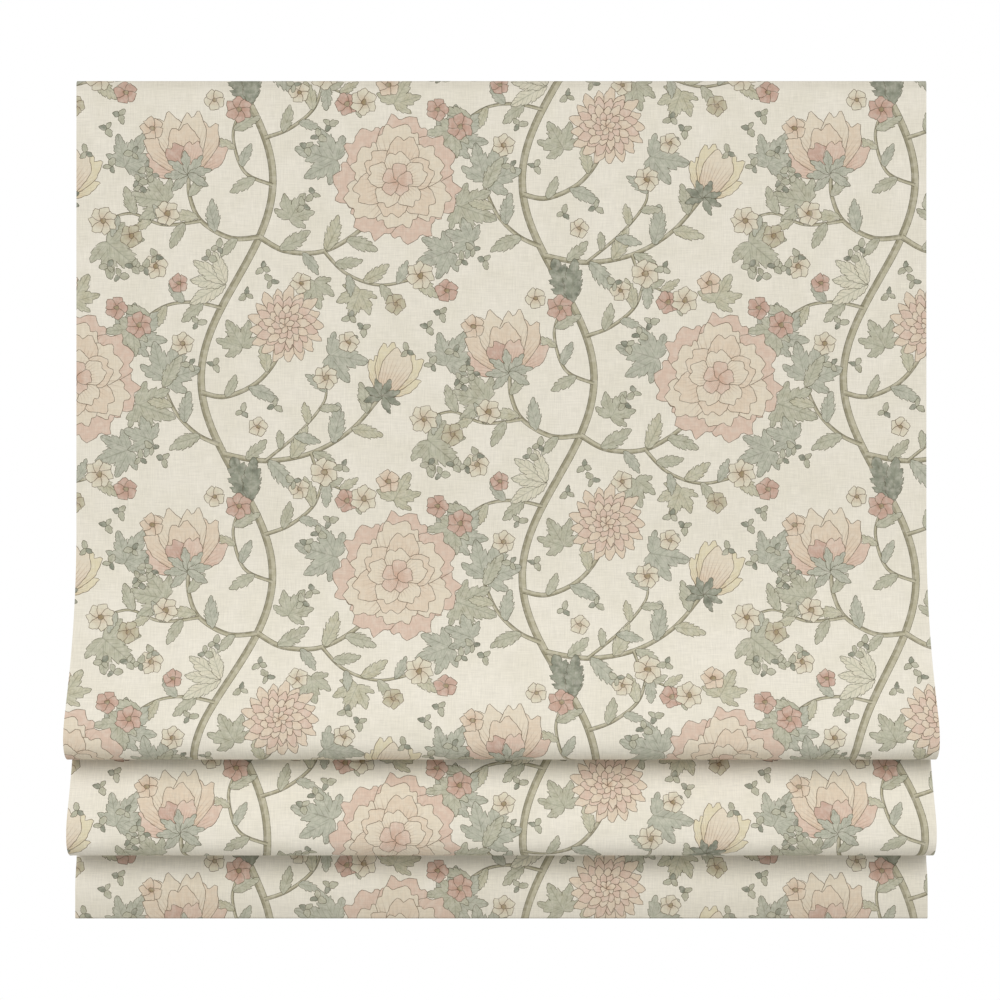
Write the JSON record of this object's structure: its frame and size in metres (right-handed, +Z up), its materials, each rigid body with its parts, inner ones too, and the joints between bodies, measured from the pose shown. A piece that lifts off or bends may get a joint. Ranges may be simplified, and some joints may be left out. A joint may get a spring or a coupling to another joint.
{
  "type": "roman blind",
  "caption": "Roman blind of lined printed cloth with soft folds over a flat hem, hung from a slim headrail with cord spools, rods, rings, cords and a hidden weight bar.",
  "frame": {"origin": "on the wall plane, at the centre of the four bracket screw holes", "axes": "+Z up, +X along the blind to the right as seen from the room, the front of the cloth faces -Y and the wall is at +Y"},
  "size_m": [0.9, 0.0963, 0.887],
  "materials": {
    "rail_aluminium": "white powder coat",
    "white_plastic": "moulded, matte",
    "spool_plastic": "moulded, matte",
    "tape": "woven hook and loop",
    "bracket_steel": "white powder coat",
    "shaft_steel": "drawn, satin",
    "printed_linen": "linen weave, printed with trailing flowers",
    "lining_cotton": "plain cotton sateen",
    "cord": "braided",
    "rod_glassfibre": "glass fibre, satin",
    "clear_plastic": "clear moulded",
    "bar_aluminium": "mill finish"
  },
  "bodies": {
    "rail": {"headrail": "rail_aluminium", "end_cap_left": "white_plastic", "end_cap_right": "white_plastic", "hook_tape": "tape", "loop_tape": "tape", "bracket_left": "bracket_steel", "bracket_right": "bracket_steel", "idle_bearing": "white_plastic", "control_housing": "white_plastic", "control_cover": "white_plastic", "brake_spring": "shaft_steel", "spool_cradle_1": "white_plastic", "spool_cradle_2": "white_plastic", "spool_cradle_3": "white_plastic", "face_fabric": "printed_linen", "lining": "lining_cotton", "lift_cord_1": "cord", "lift_cord_2": "cord", "lift_cord_3": "cord"},
    "drive": {"drive_shaft": "shaft_steel", "chain_wheel": "spool_plastic", "cord_spool_1": "spool_plastic", "cord_spool_2": "spool_plastic", "cord_spool_3": "spool_plastic"},
    "left_latch": {"latch_left": "bracket_steel"},
    "right_latch": {"latch_right": "bracket_steel"},
    "rod_level_1": {"rod_1": "rod_glassfibre", "rod_pocket_1": "lining_cotton", "ring_1_left": "clear_plastic", "ring_1_middle": "clear_plastic", "ring_1_right": "clear_plastic"},
    "rod_level_2": {"rod_2": "rod_glassfibre", "rod_pocket_2": "lining_cotton", "ring_2_left": "clear_plastic", "ring_2_middle": "clear_plastic", "ring_2_right": "clear_plastic"},
    "rod_level_3": {"rod_3": "rod_glassfibre", "rod_pocket_3": "lining_cotton", "ring_3_left": "clear_plastic", "ring_3_middle": "clear_plastic", "ring_3_right": "clear_plastic"},
    "rod_level_4": {"rod_4": "rod_glassfibre", "rod_pocket_4": "lining_cotton", "ring_4_left": "clear_plastic", "ring_4_middle": "clear_plastic", "ring_4_right": "clear_plastic", "bottom_bar": "bar_aluminium", "bar_cap_left": "clear_plastic", "bar_cap_right": "clear_plastic", "cord_anchor_left": "clear_plastic", "cord_anchor_middle": "clear_plastic", "cord_anchor_right": "clear_plastic"}
  },
  "joints": [
    {"name": "rod_1_lift", "type": "slide", "parent": "rail", "child": "rod_level_1", "axis": [0, 0, 1], "range_m": [0, 0.088], "deforming": ["face_fabric", "lining", "lift_cord_1", "lift_cord_2", "lift_cord_3"]},
    {"name": "rod_2_lift", "type": "slide", "parent": "rod_level_1", "child": "rod_level_2", "axis": [0, 0, 1], "range_m": [0, 0.316]},
    {"name": "rod_3_lift", "type": "slide", "parent": "rod_level_2", "child": "rod_level_3", "axis": [0, 0, 1], "range_m": [-0.142, 0.174]},
    {"name": "rod_4_lift", "type": "slide", "parent": "rod_level_3", "child": "rod_level_4", "axis": [0, 0, 1], "range_m": [-0.316, 0]},
    {"name": "shaft_turn", "type": "hinge", "parent": "rail", "child": "drive", "pos_m": [0, -0.01895, 0.002], "axis": [-1, 0, 0], "range_deg": [-1302, 1596]},
    {"name": "left_latch_turn", "type": "hinge", "parent": "rail", "child": "left_latch", "pos_m": [-0.3, -0.018, 0.02], "axis": [0, 0, 1], "range_deg": [0, 90]},
    {"name": "right_latch_turn", "type": "hinge", "parent": "rail", "child": "right_latch", "pos_m": [0.3, -0.018, 0.02], "axis": [0, 0, 1], "range_deg": [0, 90]}
  ],
  "couplings": [
    {"joint": "shaft_turn", "follows": "rod_3_lift", "rad_per_m": 160}
  ]
}
